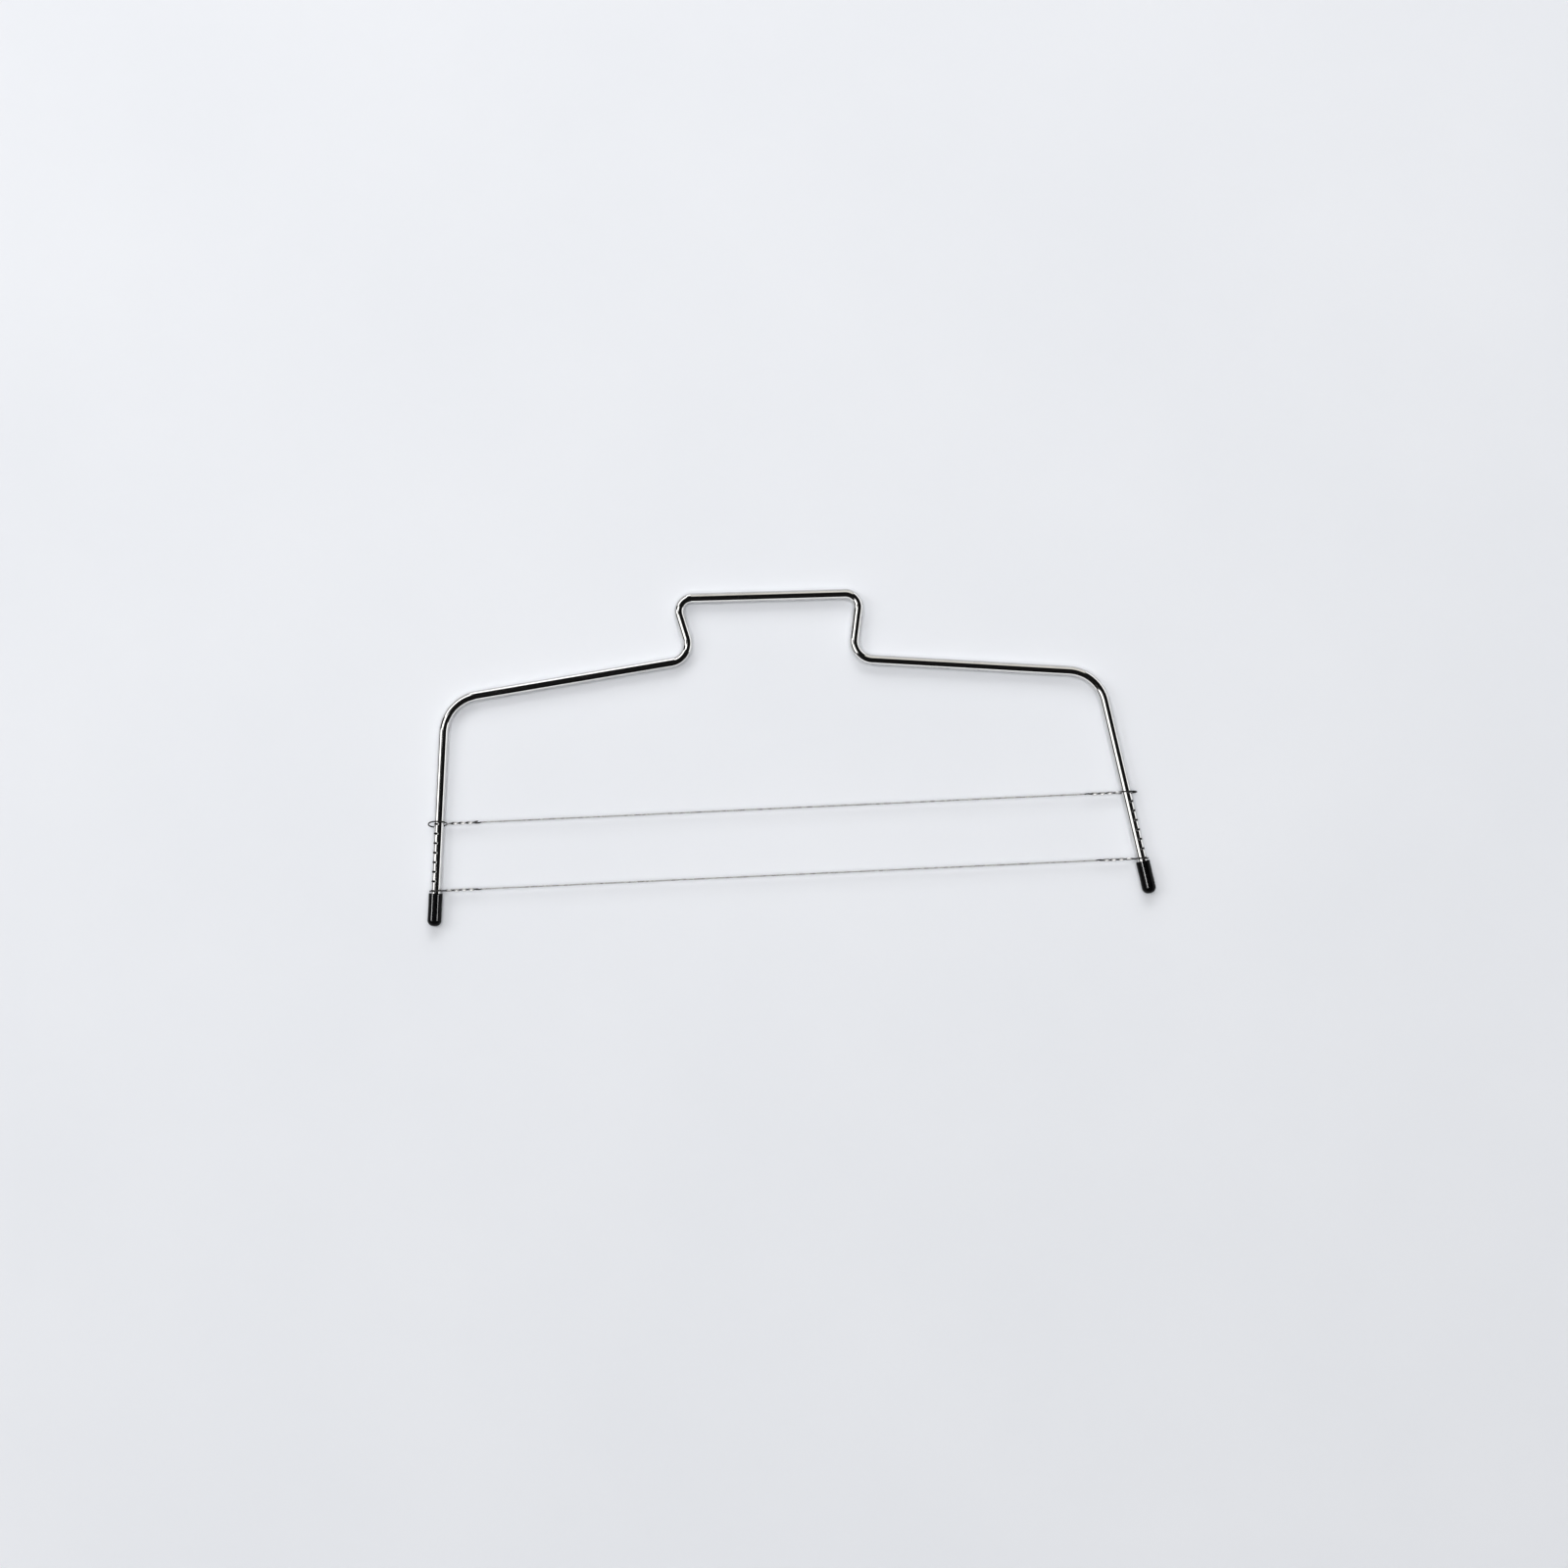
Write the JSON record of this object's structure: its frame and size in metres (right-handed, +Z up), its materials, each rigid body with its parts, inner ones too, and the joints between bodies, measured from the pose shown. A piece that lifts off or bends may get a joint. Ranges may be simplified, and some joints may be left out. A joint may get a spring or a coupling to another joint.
{
  "type": "cake leveler",
  "caption": "Bent-rod cake leveler with a raised finger handle, splayed legs in round caps and taut cutting wires that slide from notch to notch down the legs.",
  "frame": {"origin": "middle of the tool's outline, on the surface it lies on", "axes": "+X along the cutting wires, +Y from the feet to the handle, +Z up from the surface"},
  "size_m": [0.26, 0.1146, 0.005],
  "materials": {
    "polished_rod": "mirror polish",
    "black_cap": "soft gloss, dip moulded",
    "cutting_wire": "bright drawn"
  },
  "bodies": {
    "frame": {"frame": "polished_rod", "left_foot_cap": "black_cap", "right_foot_cap": "black_cap"},
    "upper_wire": {"upper_wire": "cutting_wire"},
    "lower_wire": {"lower_wire": "cutting_wire"}
  },
  "joints": [
    {"name": "upper_wire_slide", "type": "slide", "parent": "frame", "child": "upper_wire", "axis": [-0.0454, 0.999, 0], "range_m": [-0.0102, 0]},
    {"name": "lower_wire_slide", "type": "slide", "parent": "frame", "child": "lower_wire", "axis": [-0.0454, 0.999, 0], "range_m": [0, 0.0102]}
  ]
}
